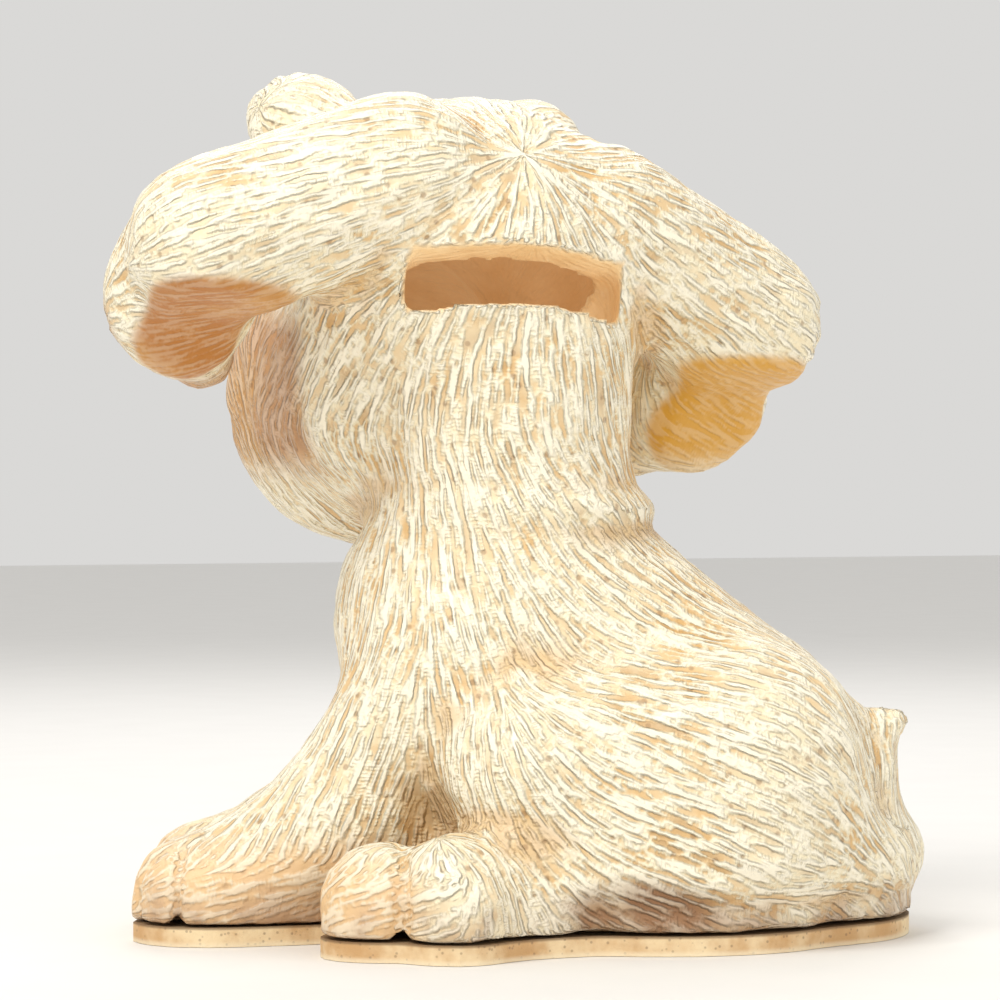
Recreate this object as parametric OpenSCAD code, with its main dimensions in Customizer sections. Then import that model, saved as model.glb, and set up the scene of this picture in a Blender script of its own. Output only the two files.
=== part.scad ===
// Figural animal coin bank: a hollow sitting puppy that looks back over its shoulder.
//
// The figure is one smooth surface made of blended ellipsoids and round-ended limbs.
// It is cut on flat joint faces into the castings that are stuck together, and each
// casting keeps its share of that surface, so that the joints close without a step.
//
// Frame: +Z up, +Y is the way the head faces, the origin is on the ground in the middle
// of the plan. The body frame has x to the chest and y to the dog's left; the head frame
// has x to the nose, y to the left ear, and its origin in the middle of the skull.

/* [Figure] */
// Height of the whole bank
figure_h = 185; // [160:5:240]
// Angle from the way the head faces round to the way the body faces
head_turn = 66; // [56:2:76]
// How far the nose is raised
head_pitch = 14; // [8:1:20]
// How far the left ear is raised above the right
head_tilt = 4; // [0:1:8]
// Distance from the middle of the skull to the fold of each ear
ear_reach = 80; // [74:1:86]
// Thickness of the cast wall
wall = 6; // [4:0.5:8]

/* [Coin slot] */
// Length of the slot, across the back of the head
slot_l = 46; // [36:1:54]
// Height of the slot
slot_h = 10; // [7:0.5:12]
// How far the slot slopes down into the head
slot_slope = 20; // [10:1:25]

/* [Base] */
// Thickness of the plate that closes the underside
plate_t = 4; // [3:0.5:6]
// Diameter of the hole that the stopper closes
hole_d = 36; // [28:1:40]
// How far the stopper's flange reaches past the hole
flange_lip = 4; // [3:0.5:6]
// Radial clearance round the stopper
stopper_gap = 0.08; // [0.04:0.01:0.1]

/* [Quality] */
// Size of the cells that the surface is measured in
cell = 4.5; // [4.5:0.5:7]

/* [Hidden] */

ivory = [0.95, 0.90, 0.78];
golden = [0.93, 0.76, 0.45];
terracotta = [0.80, 0.52, 0.30];
black_rubber = [0.13, 0.12, 0.11];

// The shapes below are measured on a figure of this height
DESIGN_H = 185;
k = figure_h / DESIGN_H;

// Middle of the design figure's plan, measured from the middle of the body
MIDDLE = [-12, 15.4, 0];

// The body stands on a straight-sided foot up to this height
sole_z = 9;
body_yaw = 90 + head_turn;
skull_forward = 20;
skull_z = 145;
neck_r = 27;

// Ellipsoid: [centre, radii, blend].  Limb: [start, start radius, end, end radius, blend].
rump = [-30, 0, 34];
rump_r = 34;
chest = [10, 0, 69];
chest_r = 31;
neck = [11, 1, 88];
nape = [11, 6, 120];
trunk = [
    [rump, rump_r, chest, chest_r, 1],
    [[-42, 0, 17], [36, 36, 20], 10],
    [[18, 0, 67], [31, 30, 30], 8],
    [neck, neck_r, nape, neck_r, 6],
    [[9, 0, 90], [30, 30, 8], 3],
    [[22, 0, 14], [44, 26, 26], 6]
];
foreleg = [
    [[24, 16, 56], 19, [44, 16, 30], 14, 8],
    [[45, 16, 24], 15.5, [66, 17, 12], 14, 7],
    [[74, 18, 11], [16, 15, 12], 4]
];
knee = [6, 31, 36];
knee_r = 19;
haunch = [-36, 20, 36];
haunch_r = 28;
hind_leg = [
    [knee, knee_r, haunch, haunch_r, 9],
    [[-20, 31, 20], [36, 20, 21], 7],
    [[6, 38, 11], 13, [20, 46, 11], 13, 6],
    [[37, 46.5, 11], [13, 12, 13], 3],
    [[22, 51, 12], [13, 13, 13.5], 3]
];
tail_root = [-60, 9, 20];
tail_shapes = [
    [tail_root, 10, [-64, 9, 35], 7.5, 5],
    [[-64, 9, 35], 7.5, [-65, 8, 43], 6, 3],
    [[-65, 8, 43], 6, [-71, 7, 45], 4, 2]
];
skull = [-2, 0, -2];
skull_r = [37, 37, 35];
cheek = [10, 0, -26];
cheek_r = [36, 34, 36];
jaw = [36, 0, -38];
jaw_r = [31, 34, 37];
face = [
    [skull, skull_r, 1],
    [cheek, cheek_r, 8],
    [jaw, jaw_r, 12],
    [[46, 0, -24], 23, [60, 0, -22], 17, 8],
    [[75, 0, -12], [8, 10, 8], 4]
];
face_pair = [
    [[54, 12, -30], [17, 14, 14], 5],
    [[35, 27, 18], [17, 13, 12], 14]
];
ear_r = 18;

// The left ear is carried higher than the right, and its flap higher still
root_lift = 3;
flap_lift = 6;
function ear_shapes(side) =
    let (root = [0, 0, side * root_lift], flap = [0, 0, side * flap_lift])
    [
        [[-14, 24, 13] + root, ear_r, [-12, ear_reach - ear_r, -5] + root, ear_r, 6],
        [[2, ear_reach - 18.5, -20] + flap, [14, 17.5, 20], 6],
        [[6, ear_reach - 22, -30] + flap, 10, [10, ear_reach - 28, -36] + flap, 8, 4]
    ];
// What is taken away below the fold, so that the flap's plain side faces back
function ear_hollow(side) =
    [[-44, ear_reach - 16, -42 + side * root_lift], [40, 60, 32], 2.5];
LEFT_HOLLOW = ear_hollow(1);
RIGHT_HOLLOW = ear_hollow(-1);
LEFT_EAR = ear_shapes(1);
RIGHT_EAR = ear_shapes(-1);

BODY = concat(trunk, foreleg, mirrored(foreleg), hind_leg, mirrored(hind_leg), tail_shapes);
HEAD = concat(face, face_pair, mirrored(face_pair));

// ---- Distance functions -------------------------------------------------------------

function flip(p) = [p.x, -p.y, p.z];
function mirrored(shapes) = [
    for (s = shapes)
        len(s) == 3 ? [flip(s[0]), s[1], s[2]] : [flip(s[0]), s[1], flip(s[2]), s[3], s[4]]
];

function blend(a, b, width) =
    let (h = max(width - abs(a - b), 0) / width)
    min(a, b) - h * h * width / 4;

function from_ellipsoid(p, centre, r) =
    let (
        q = p - centre,
        near = norm([q.x / r.x, q.y / r.y, q.z / r.z]),
        steep = norm([q.x / (r.x * r.x), q.y / (r.y * r.y), q.z / (r.z * r.z)])
    )
    near * (near - 1) / max(steep, 0.0001);

function from_limb(p, start, r_start, end, r_end) =
    let (
        along = end - start,
        t = max(0, min(1, ((p - start) * along) / (along * along)))
    )
    norm(p - start - t * along) - r_start - (r_end - r_start) * t;

function from_shape(p, s) =
    len(s) == 3 ? from_ellipsoid(p, s[0], s[1]) : from_limb(p, s[0], s[1], s[2], s[3]);

function from_group(p, shapes, i = 0, d = 1000) =
    i == len(shapes) ? d :
    from_group(p, shapes, i + 1, blend(d, from_shape(p, shapes[i]), shapes[i][len(shapes[i]) - 1]));

function from_ear(p, shapes, hollow) =
    -blend(-from_group(p, shapes), from_shape(p, hollow), hollow[2]);

// World point to body frame and to head frame
function in_plan(p, angle) =
    [p.x * cos(angle) + p.y * sin(angle), p.y * cos(angle) - p.x * sin(angle), p.z];
skull_at = skull_forward * [cos(body_yaw), sin(body_yaw), 0] + [0, 0, skull_z];
function to_head(p) =
    let (
        q = in_plan(p - skull_at, 90),
        x = q.x * cos(head_pitch) + q.z * sin(head_pitch),
        z = q.z * cos(head_pitch) - q.x * sin(head_pitch)
    )
    [x, q.y * cos(head_tilt) + z * sin(head_tilt), z * cos(head_tilt) - q.y * sin(head_tilt)];

function from_body(p) =
    from_group(in_plan([p.x, p.y, max(p.z, sole_z)], body_yaw), BODY);
function from_head(p) =
    let (
        q = to_head(p),
        left = from_ear(q, LEFT_EAR, LEFT_HOLLOW),
        right = from_ear(flip(q), RIGHT_EAR, RIGHT_HOLLOW)
    )
    blend(blend(from_group(q, HEAD), left, 6), right, 6);

HEAD_FROM = 70;
BODY_UP_TO = 150;
function figure(p) =
    p.z < HEAD_FROM ? from_body(p) :
    p.z > BODY_UP_TO ? from_head(p) :
    blend(from_body(p), from_head(p), 6);

// ---- The surface as a mesh ----------------------------------------------------------

// A cell's corners, the pairs of corners that its edges join, and its faces as rings of
// corners that run anticlockwise from outside
CORNERS = [for (x = [0, 1], y = [0, 1], z = [0, 1]) [x, y, z]];
EDGES = [
    for (a = [0 : 7], b = [a + 1 : 7])
        if (norm(CORNERS[a] - CORNERS[b]) == 1) [a, b]
];
FACES = [[0, 1, 3, 2], [4, 6, 7, 5], [0, 4, 5, 1], [2, 3, 7, 6], [0, 2, 6, 4], [1, 5, 7, 3]];

function edge_between(a, b) = search([[min(a, b), max(a, b)]], EDGES)[0];
function is_in(inside, face, i) = inside[face[i % 4]];
function run_end(inside, face, i) = is_in(inside, face, i + 1) ? run_end(inside, face, i + 1) : i;

// On each face the surface runs from the edge where the ring enters the figure to the edge
// where it leaves, so each cut edge leads to one other and they close into loops
function links(inside) = [
    for (face = FACES, i = [0 : 3])
        if (!is_in(inside, face, i) && is_in(inside, face, i + 1))
            let (j = run_end(inside, face, i + 1))
            [edge_between(face[i], face[(i + 1) % 4]), edge_between(face[j % 4], face[(j + 1) % 4])]
];
function follow(next, first, e) = e == first ? [] : concat([e], follow(next, first, next[e]));
function loops(inside) =
    let (
        pairs = links(inside),
        next = [for (e = [0 : 11]) [for (p = pairs) if (p[0] == e) p[1]][0]]
    )
    [
        for (e = [0 : 11])
            if (!is_undef(next[e]))
                let (loop = concat([e], follow(next, e, next[e])))
                if (min(loop) == e) loop
    ];
function bit(n, i) = floor(n / pow(2, i)) % 2;
LOOPS = [for (n = [0 : 255]) loops([for (i = [0 : 7]) bit(n, i) == 1])];
BITS = [for (i = [0 : 7]) pow(2, i)];

// How far along an edge the surface crosses it, kept off the ends so that no triangle is a sliver
SHORTEST = 0.1;
function crossing(a, b) = max(SHORTEST, min(1 - SHORTEST, a / (a - b)));

// The part of the figure between two corners of a box, given in whole cells
module figure_mesh(low, high) {
    n = high - low + [1, 1, 1];
    stride = [n.y * n.z, n.z, 1];
    value = [
        for (x = [0 : n.x - 1], y = [0 : n.y - 1], z = [0 : n.z - 1])
            x * y * z == 0 || x == n.x - 1 || y == n.y - 1 || z == n.z - 1
                ? cell
                : figure((low + [x, y, z]) * cell)
    ];
    inside = [for (v = value) v < 0 ? 1 : 0];
    cuts = [
        for (x = [0 : n.x - 1], y = [0 : n.y - 1], z = [0 : n.z - 1])
            let (g = [x, y, z] * stride)
            for (axis = [0 : 2])
                let (h = g + stride[axis])
                if (inside[g] != inside[h] && [x, y, z][axis] < n[axis] - 1)
                    [3 * g + axis, low + [x, y, z] + crossing(value[g], value[h]) * UNIT[axis]]
    ];
    number = lookup_table(cuts, 3 * len(value));
    polyhedron(
        [for (c = cuts) (c[1] * cell - MIDDLE) * k],
        [
            for (x = [0 : n.x - 2], y = [0 : n.y - 2], z = [0 : n.z - 2])
                let (
                    g = [x, y, z] * stride,
                    corner = [for (c = CORNERS) g + c * stride],
                    state = [for (c = corner) inside[c]] * BITS
                )
                if (state > 0 && state < 255)
                    let (at = [for (e = EDGES) number[3 * corner[e[0]] + edge_axis(e)]])
                    for (loop = LOOPS[state], i = [1 : len(loop) - 2])
                        [at[loop[0]], at[loop[i + 1]], at[loop[i]]]
        ]
    );
}
UNIT = [[1, 0, 0], [0, 1, 0], [0, 0, 1]];
function edge_axis(e) = search([CORNERS[e[1]] - CORNERS[e[0]]], UNIT)[0];
// The place in the list of each numbered cut, for every number up to the last
function lookup_table(cuts, size) = [
    for (i = 0, n = 0; i < size; n = n + (cuts[n][0] == i ? 1 : 0), i = i + 1) n
];

// ---- Places -------------------------------------------------------------------------

// Children in the body frame and in the head frame of the design figure, at full size
module on_figure() scale(k) translate(-MIDDLE) children();
module on_body() on_figure() rotate(body_yaw) children();
module on_head()
    on_figure() translate(skull_at) rotate(90) rotate([head_tilt, -head_pitch, 0]) children();

function body_point(p) = in_plan(p, -body_yaw);
function head_point(p) =
    let (
        y = p.y * cos(head_tilt) - p.z * sin(head_tilt),
        z = p.y * sin(head_tilt) + p.z * cos(head_tilt),
        ahead = p.x * cos(head_pitch) - z * sin(head_pitch),
        up = p.x * sin(head_pitch) + z * cos(head_pitch)
    )
    in_plan([ahead, y, up], -90) + skull_at;

function box_corners(low, high) = [for (c = CORNERS) [for (i = [0 : 2]) c[i] == 0 ? low[i] : high[i]]];
function least(points) = [for (i = [0 : 2]) min([for (p = points) p[i]])];
function most(points) = [for (i = [0 : 2]) max([for (p = points) p[i]])];
function whole_cells(p, step) = [for (v = p) floor(v / cell) + step];

// The corners of a box beside the body or the head, on the dog's left (1) or right (-1)
function beside_body(low, high, side) =
    [for (c = box_corners(low, high)) body_point([c.x, side * c.y, c.z])];
function beside_head(low, high, side) =
    [for (c = box_corners(low, high)) head_point([c.x, side * c.y, c.z])];

// The figure's surface wherever it passes near these design points
module figure_near(points)
    figure_mesh(whole_cells(least(points), -1), whole_cells(most(points), 2));

// ---- Joint faces between the castings -----------------------------------------------

BIG = 400;

// The head sits on a face that falls from the nape to the throat
nape_joint = [0, -18, 101];
throat_fall = 21;
module above_neck_joint()
    on_figure() translate(nape_joint) rotate([-throat_fall, 0, 0])
        translate([-BIG / 2, -BIG / 2, 0]) cube(BIG);

module above_plate() translate([-BIG / 2, -BIG / 2, plate_t]) cube(BIG);

// Each foreleg: behind it an upright face under the chest, above it a face across the shoulder
SHOULDER = [[34, -20], [34, 42], [60, 62], [110, 62], [110, -20]];
leg_side = 45;
module foreleg_place(side)
    on_body() translate([0, side > 0 ? leg_side : 0, 0]) rotate([90, 0, 0])
        linear_extrude(leg_side) polygon(SHOULDER);

// Each hind foot: faces against the thigh, the belly and the knee above
foot_low = [12, 33.5, -20];
foot_high = [70, 75, 28];
module hind_foot_place(side)
    on_body() mirror([0, side > 0 ? 0 : 1, 0]) translate(foot_low) cube(foot_high - foot_low);

// The tail: a round face on the rump
tail_joint = [-62.5, 8, 38.5];
tail_lean = -60;
tail_joint_r = 12;
tail_reach = 40;
module tail_place()
    on_body() translate(tail_joint) rotate([0, tail_lean, 0]) cylinder(r = tail_joint_r, h = tail_reach);

// Each ear: an upright face on the side of the skull
ear_low = [-60, 43, -55];
ear_high = [24, 110, 60];
module ear_place(side)
    on_head() mirror([0, side > 0 ? 0 : 1, 0]) translate(ear_low) cube(ear_high - ear_low);

// ---- Hollows ------------------------------------------------------------------------

thin = wall / k;
passage_r = neck_r - thin - 2;
passage_at = [10.5, 0, 69];
module egg(centre, r) translate(centre) scale(r - [thin, thin, thin]) sphere(1, $fn = 40);

module neck_passage()
    on_body() translate(passage_at) cylinder(r = passage_r, h = 60, $fn = 48);

module ball(centre, r) translate(centre) sphere(r - thin, $fn = 40);
module post(centre, r) translate([centre.x, centre.y, -20]) cylinder(r = r - thin, h = 50, $fn = 40);

belly = [6, 0, 30];
belly_r = 28;
foot_inset = 10;
module torso_hollow() {
    on_body() {
        hull() {
            ball(rump, rump_r);
            ball(chest, chest_r);
            ball(belly, belly_r);
        }
        post(rump, rump_r);
        for (side = [-1, 1]) mirror([0, side > 0 ? 0 : 1, 0]) {
            hull() {
                ball(knee, knee_r);
                ball(haunch, haunch_r);
            }
            hull() {
                post(knee, knee_r - foot_inset);
                post(haunch, haunch_r - foot_inset);
            }
        }
    }
    neck_passage();
}

// The skull's wall is thicker behind, where the slot is cut
slot_wall = 3;
module head_hollow() {
    on_head() {
        egg(skull + [slot_wall, 0, 0], skull_r);
        egg(cheek, cheek_r);
        egg(jaw, jaw_r);
    }
    neck_passage();
}

slot_at = [-22, -30, 138.5];
slot_turn = -12;
slot_corner = 2;
slot_cut = 40;
module coin_slot()
    on_figure() translate(slot_at) rotate([90 - slot_slope, 0, slot_turn])
        linear_extrude(slot_cut, center = true) offset(slot_corner / k, $fn = 16)
            square([slot_l - 2 * slot_corner, slot_h - 2 * slot_corner] / k, center = true);

// ---- Castings -----------------------------------------------------------------------

// Hands the booleans on the surface mesh over as one mesh
module one_mesh() resize([0, 0, 0]) children();

module torso_casting() color(ivory) one_mesh() difference() {
    figure_near(box_corners([-100, -100, 0], [100, 100, 118]));
    above_neck_joint();
    for (side = [-1, 1]) {
        foreleg_place(side);
        hind_foot_place(side);
    }
    tail_place();
    torso_hollow();
    translate([-BIG / 2, -BIG / 2, plate_t - BIG]) cube(BIG);
}

module head_casting() color(ivory) one_mesh() difference() {
    intersection() {
        figure_near(box_corners([-100, -60, 60], [100, 120, 195]));
        above_neck_joint();
    }
    for (side = [-1, 1]) ear_place(side);
    head_hollow();
    coin_slot();
}

module ear(side) color(golden) one_mesh() intersection() {
    figure_near(beside_head([-36, 38, -56], [28, ear_reach + 6, 36], side));
    ear_place(side);
    above_neck_joint();
}

module tail() color(ivory) one_mesh() intersection() {
    figure_near(beside_body([-80, -8, 20], [-50, 24, 54], 1));
    tail_place();
}

module foreleg(side) color(terracotta) one_mesh() intersection() {
    difference() {
        figure_near(beside_body([30, -4, 0], [94, 40, 66], side));
        hind_foot_place(side);
    }
    foreleg_place(side);
    above_plate();
}

module hind_foot(side) color(terracotta) one_mesh() intersection() {
    figure_near(beside_body([8, 28, 0], [56, 70, 30], side));
    hind_foot_place(side);
    above_plate();
}

// ---- Base ---------------------------------------------------------------------------

hole_at = k * (body_point([rump.x, rump.y, 0]) - [MIDDLE.x, MIDDLE.y, 0]);
flange_d = hole_d + 2 * flange_lip;
plate_inset = 0.8;
recess_depth = plate_t / 2;
recess_gap = 0.5;
foot_gap = 0.3;

// Narrow gaps between the feet are filled up to this distance from each side
gap_fill = 6;
module footprint()
    offset(-plate_inset - gap_fill) offset(gap_fill) projection(cut = true) translate([0, 0, -plate_t])
        figure_near(box_corners([-100, -100, 0], [100, 100, sole_z]));

module base_plate() color(terracotta) difference() {
    linear_extrude(plate_t) footprint();
    translate([hole_at.x, hole_at.y, -1]) cylinder(d = hole_d, h = plate_t + 2);
    translate([hole_at.x, hole_at.y, -1]) cylinder(d = flange_d + 2 * recess_gap, h = 1 + recess_depth);
}

plug_r = hole_d / 2 - stopper_gap;
plug_top = plate_t + 6;
plug_chamfer = 1.5;
cup_r = plug_r - 4;
cup_depth = plug_top - 3;
module stopper() color(black_rubber) translate(hole_at) rotate_extrude() polygon([
    [cup_r, foot_gap],
    [flange_d / 2, foot_gap],
    [flange_d / 2, recess_depth],
    [plug_r, recess_depth],
    [plug_r, plug_top - plug_chamfer],
    [plug_r - plug_chamfer, plug_top],
    [0, plug_top],
    [0, cup_depth],
    [cup_r - 1, cup_depth]
]);

torso_casting();
head_casting();
ear(1);  // left_ear
ear(-1);  // right_ear
tail();
foreleg(1);  // left_foreleg
foreleg(-1);  // right_foreleg
hind_foot(1);  // left_hind_foot
hind_foot(-1);  // right_hind_foot
base_plate();
stopper();
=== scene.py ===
"""A sitting-puppy coin bank: modelled fur with a golden wash, painted highlights and painted shade, a stained
base and a rubber stopper.
"""

import math

import bmesh
import bpy
import numpy as np
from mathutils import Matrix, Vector


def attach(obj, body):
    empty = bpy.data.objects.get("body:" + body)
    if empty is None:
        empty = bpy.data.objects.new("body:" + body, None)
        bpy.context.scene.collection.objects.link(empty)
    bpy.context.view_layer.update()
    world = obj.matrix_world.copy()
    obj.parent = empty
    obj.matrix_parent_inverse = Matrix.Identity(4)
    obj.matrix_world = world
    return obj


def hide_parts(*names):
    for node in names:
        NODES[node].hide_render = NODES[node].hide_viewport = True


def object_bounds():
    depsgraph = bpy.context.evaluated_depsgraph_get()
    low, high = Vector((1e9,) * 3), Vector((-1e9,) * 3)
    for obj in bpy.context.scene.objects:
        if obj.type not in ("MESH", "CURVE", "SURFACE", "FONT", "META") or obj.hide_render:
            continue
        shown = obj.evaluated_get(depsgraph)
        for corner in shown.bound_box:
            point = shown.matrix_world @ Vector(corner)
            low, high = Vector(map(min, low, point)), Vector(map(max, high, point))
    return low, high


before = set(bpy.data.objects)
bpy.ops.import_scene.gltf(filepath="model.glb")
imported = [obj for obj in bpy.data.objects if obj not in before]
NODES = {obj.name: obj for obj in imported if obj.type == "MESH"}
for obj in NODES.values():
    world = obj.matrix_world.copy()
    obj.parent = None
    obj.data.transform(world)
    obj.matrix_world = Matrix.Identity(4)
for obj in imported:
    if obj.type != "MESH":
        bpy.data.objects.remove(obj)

bl_info = {
    "name": "Puppy Coin Bank",
    "version": (1, 0, 0),
    "blender": (4, 5, 0),
    "location": "View3D > Sidebar > Coin Bank",
    "description": "Builds the looks of a figural puppy coin bank on its packed frame",
    "category": "Object",
}

CAD_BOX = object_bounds()
MM = 0.001

# The pieces that are stuck together and painted over as one figure
CASTINGS = (
    "torso_casting", "head_casting", "left_ear", "right_ear", "tail",
    "left_foreleg", "right_foreleg", "left_hind_foot", "right_hind_foot",
)

# The figure's own directions, in the frame: the way the head faces, and the way the body faces
HEAD_TURN = math.radians(66)
HEAD_PITCH = math.radians(14)
HEAD_TILT = math.radians(4)


# ---- Settings that a user may change -----------------------------------------------


class FigureSettings(bpy.types.PropertyGroup):
    """Sizes and colours of the painted figure."""

    remesh_size: bpy.props.FloatProperty(
        name="Skin detail", description="Size of the skin's cells",
        default=1.28 * MM, min=0.8 * MM, max=4 * MM, unit="LENGTH", precision=5,
    )
    stroke_depth: bpy.props.FloatProperty(
        name="Fur depth", description="Depth of the modelled fur strokes",
        default=0.55 * MM, min=0.0, max=1.2 * MM, unit="LENGTH", precision=5,
    )
    stroke_pitch: bpy.props.FloatProperty(
        name="Fur pitch", description="Distance from one fur stroke to the next",
        default=2.0 * MM, min=1.0 * MM, max=5 * MM, unit="LENGTH", precision=5,
    )
    ivory: bpy.props.FloatVectorProperty(
        name="Ivory", description="Colour of the tops of the fur", subtype="COLOR",
        default=(0.94, 0.84, 0.60), min=0, max=1,
    )
    # Also the colour of the painted shade in the coarse creases
    golden: bpy.props.FloatVectorProperty(
        name="Golden", description="Colour of the wash between the strokes", subtype="COLOR",
        default=(0.66, 0.35, 0.075), min=0, max=1,
    )
    # Painted shade: this amber stands for the warm shade under the ears and along the jaw
    amber_shade: bpy.props.FloatVectorProperty(
        name="Amber", description="Colour of the plain sides of the ears", subtype="COLOR",
        default=(0.46, 0.17, 0.025), min=0, max=1,
    )
    # Painted shade, paler on the right ear, where more light reaches its under side
    honey_shade: bpy.props.FloatVectorProperty(
        name="Honey", description="Colour of the right ear's plain side", subtype="COLOR",
        default=(0.70, 0.35, 0.03), min=0, max=1,
    )
    # Also the colour of the brown blots low on the feet
    brown: bpy.props.FloatVectorProperty(
        name="Brown", description="Colour of the deep stains", subtype="COLOR",
        default=(0.22, 0.09, 0.03), min=0, max=1,
    )


class BaseSettings(bpy.types.PropertyGroup):
    """Colours of the base plate and the stopper."""

    clay: bpy.props.FloatVectorProperty(
        name="Clay", description="Colour of the bare base plate", subtype="COLOR",
        default=(0.60, 0.36, 0.16), min=0, max=1,
    )
    rubber: bpy.props.FloatVectorProperty(
        name="Rubber", description="Colour of the stopper", subtype="COLOR",
        default=(0.028, 0.027, 0.026), min=0, max=1,
    )


class StudioSettings(bpy.types.PropertyGroup):
    """The camera and the lights."""

    azimuth: bpy.props.FloatProperty(
        name="Azimuth", description="Where the camera stands round the bank",
        default=math.radians(-24), subtype="ANGLE",
    )
    elevation: bpy.props.FloatProperty(
        name="Elevation", description="How far the camera stands above the bank's middle",
        default=math.radians(0.5), subtype="ANGLE",
    )
    distance: bpy.props.FloatProperty(
        name="Distance", description="From the camera to the bank",
        default=0.85, min=0.4, max=3.0, unit="LENGTH",
    )


# ---- Small helpers ------------------------------------------------------------------


def smoothstep(low, high, value):
    """0 below low, 1 above high, smooth between, for arrays."""
    t = np.clip((value - low) / (high - low), 0.0, 1.0)
    return t * t * (3 - 2 * t)


def vertex_array(mesh):
    """The mesh's vertex places as an array with one row each."""
    points = np.empty(len(mesh.vertices) * 3)
    mesh.vertices.foreach_get("co", points)
    return points.reshape(-1, 3)


def normal_array(mesh):
    """The mesh's vertex normals as an array with one row each."""
    normals = np.empty(len(mesh.vertices) * 3)
    mesh.vertices.foreach_get("normal", normals)
    return normals.reshape(-1, 3)


def move_vertices(mesh, points):
    """Puts the mesh's vertices at these places."""
    mesh.vertices.foreach_set("co", points.ravel())
    mesh.update()


def store(mesh, name, values):
    """Keeps one number for each vertex under this name."""
    attribute = mesh.attributes.new(name, "FLOAT", "POINT")
    attribute.data.foreach_set("value", np.clip(values, 0.0, 1.0))


def apply_modifiers(piece):
    """Makes the piece's modifiers part of its mesh."""
    bpy.context.view_layer.objects.active = piece
    for modifier in list(piece.modifiers):
        bpy.ops.object.modifier_apply(modifier=modifier.name)


def link_piece(name, mesh):
    """A new object for a finished mesh."""
    piece = bpy.data.objects.new(name, mesh)
    bpy.context.scene.collection.objects.link(piece)
    return piece


# ---- The figure's own frames -----------------------------------------------------------


SKULL = np.array((-6.3, -7.3, 145.0))
HIPS = np.array((12.0, -15.4, 0.0))
BODY_TURN = math.pi / 2 + HEAD_TURN


def to_head(points):
    """Places in millimetres ahead of, left of and above the middle of the skull."""
    q = points / MM - SKULL
    ahead = q[:, 1] * math.cos(HEAD_PITCH) + q[:, 2] * math.sin(HEAD_PITCH)
    up = q[:, 2] * math.cos(HEAD_PITCH) - q[:, 1] * math.sin(HEAD_PITCH)
    left = -q[:, 0] * math.cos(HEAD_TILT) + up * math.sin(HEAD_TILT)
    up = up * math.cos(HEAD_TILT) + q[:, 0] * math.sin(HEAD_TILT)
    return np.stack((ahead, left, up), axis=1)


def head_axes():
    """The head's ahead, left and up as directions in the frame, one row each."""
    origin = to_head(np.zeros((1, 3)))
    return np.stack([(to_head(np.eye(3)[i:i + 1] * MM) - origin)[0] for i in range(3)], axis=1)


def to_body(points):
    """Places in millimetres towards the chest, towards the dog's left and up."""
    q = points / MM - HIPS
    ahead = q[:, 0] * math.cos(BODY_TURN) + q[:, 1] * math.sin(BODY_TURN)
    left = q[:, 1] * math.cos(BODY_TURN) - q[:, 0] * math.sin(BODY_TURN)
    return np.stack((ahead, left, q[:, 2]), axis=1)


def body_axes():
    """The body's ahead, left and up as directions in the frame, one row each."""
    c, s = math.cos(BODY_TURN), math.sin(BODY_TURN)
    return np.array(((c, s, 0.0), (-s, c, 0.0), (0.0, 0.0, 1.0)))


def nearness(points, centre, radii):
    """1 on an ellipsoid's surface, less inside it."""
    return np.linalg.norm((points - np.array(centre)) / np.array(radii), axis=1)


def unit(vectors):
    """The same directions, each of length 1."""
    return vectors / np.maximum(np.linalg.norm(vectors, axis=1, keepdims=True), 1e-9)


# ---- Fur -------------------------------------------------------------------------------

# Where the fur parts on the back of the head, in the head's frame
WHORL = np.array((-26.0, 2.0, 26.0))


def lay_of_fur(points, normals):
    """The way the fur lies at each place, along the surface."""
    head = to_head(points)
    body = to_body(points)
    from_whorl = unit(head - WHORL)
    side = np.sign(head[:, 1:2])
    along_ear = unit(np.concatenate((0.25 + 0 * side, side * 0.9, -0.45 + 0 * side), axis=1))
    from_nose = unit(head - np.array((80.0, 0.0, -14.0)))
    on_ear = smoothstep(34, 52, np.abs(head[:, 1]))[:, None]
    on_face = smoothstep(14, 44, head[:, 0])[:, None] * (1 - on_ear)
    head_flow = from_whorl * (1 - on_ear) * (1 - on_face) + along_ear * on_ear + from_nose * on_face
    head_flow = head_flow @ head_axes()

    backwards = smoothstep(26, -22, body[:, 0])[:, None]
    flank = np.array((-0.2, 0.0, -1.0)) * (1 - backwards) + np.array((-0.95, 0.0, -0.62)) * backwards
    past_knee = smoothstep(16, -16, body[:, 0])[:, None]
    over_thigh = np.array((-0.35, 0.0, -1.0)) * (1 - past_knee) + np.array((-1.0, 0.0, -0.42)) * past_knee
    on_thigh = smoothstep(24, 34, np.abs(body[:, 1])) * smoothstep(70, 54, body[:, 2])
    on_thigh = on_thigh * smoothstep(44, 26, body[:, 0])
    leg = np.tile(np.array((0.35, 0.0, -0.95)), (len(points), 1))
    on_leg = smoothstep(22, 34, body[:, 0]) * smoothstep(74, 58, body[:, 2])
    paw = np.tile(np.array((1.0, 0.0, -0.25)), (len(points), 1))
    on_paw = smoothstep(20, 14, body[:, 2]) * smoothstep(12, 26, body[:, 0])
    on_tail = (nearness(body, (-66, 8, 36), (11, 13, 20)) < 1.0).astype(float)
    body_flow = flank
    for flow, weight in ((over_thigh, on_thigh), (leg, on_leg), (paw, on_paw),
                         (np.tile(np.array((-0.2, 0.0, 1.0)), (len(points), 1)), on_tail)):
        body_flow = body_flow * (1 - weight[:, None]) + flow * weight[:, None]
    body_flow = body_flow @ body_axes()

    is_head = smoothstep(98, 112, points[:, 2] / MM)[:, None]
    flow = head_flow * is_head + body_flow * (1 - is_head)
    flow = flow - normals * np.sum(flow * normals, axis=1, keepdims=True)
    return unit(flow)


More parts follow.
